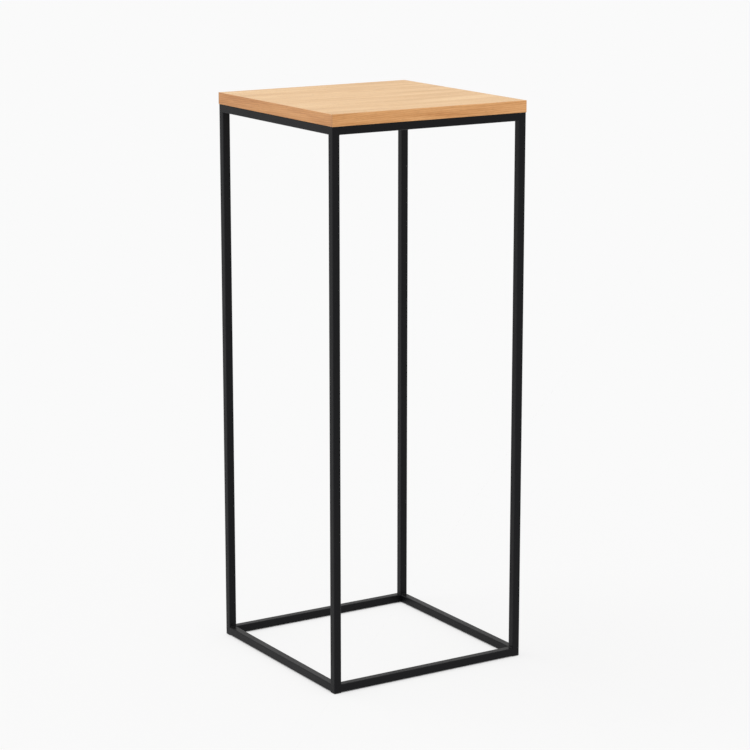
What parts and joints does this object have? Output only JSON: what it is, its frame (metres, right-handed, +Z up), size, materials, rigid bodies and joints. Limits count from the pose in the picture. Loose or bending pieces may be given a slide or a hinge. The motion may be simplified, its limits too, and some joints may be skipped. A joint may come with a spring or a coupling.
{
  "type": "display plinth",
  "caption": "Tall open plinth: a slender square-tube steel frame on a square base ring carries a thin square wood-veneered display board.",
  "frame": {"origin": "on the floor, at the centre of the plan", "axes": "+Z up, the display surface faces +Z; -Y is the front, -X the left; the face grain runs along X"},
  "size_m": [0.35, 0.35, 0.9],
  "materials": {
    "black_powder_coat": "matt black powder coat, fine texture",
    "zinc_plated_steel": "bright zinc plate",
    "black_plastic": "moulded, matt",
    "core_board": "unfinished wood-based panel",
    "oak_veneer": "clear matt lacquer on light veneer, straight grain",
    "oak_edge_band": "clear matt lacquer on light edge band, grain along the edge"
  },
  "bodies": {
    "root": {"front_left_upright": "black_powder_coat", "front_right_upright": "black_powder_coat", "back_left_upright": "black_powder_coat", "back_right_upright": "black_powder_coat", "front_top_rail": "black_powder_coat", "back_top_rail": "black_powder_coat", "left_top_rail": "black_powder_coat", "right_top_rail": "black_powder_coat", "front_base_rail": "black_powder_coat", "back_base_rail": "black_powder_coat", "left_base_rail": "black_powder_coat", "right_base_rail": "black_powder_coat", "top_corner_welds": "black_powder_coat", "base_corner_welds": "black_powder_coat", "front_left_tab": "black_powder_coat", "front_right_tab": "black_powder_coat", "back_left_tab": "black_powder_coat", "back_right_tab": "black_powder_coat", "board_screws": "zinc_plated_steel", "front_left_glide": "black_plastic", "front_right_glide": "black_plastic", "back_left_glide": "black_plastic", "back_right_glide": "black_plastic", "board_core": "core_board", "top_veneer": "oak_veneer", "backing_veneer": "oak_veneer", "front_edge_band": "oak_edge_band", "back_edge_band": "oak_edge_band", "left_edge_band": "oak_edge_band", "right_edge_band": "oak_edge_band"}
  },
  "joints": []
}
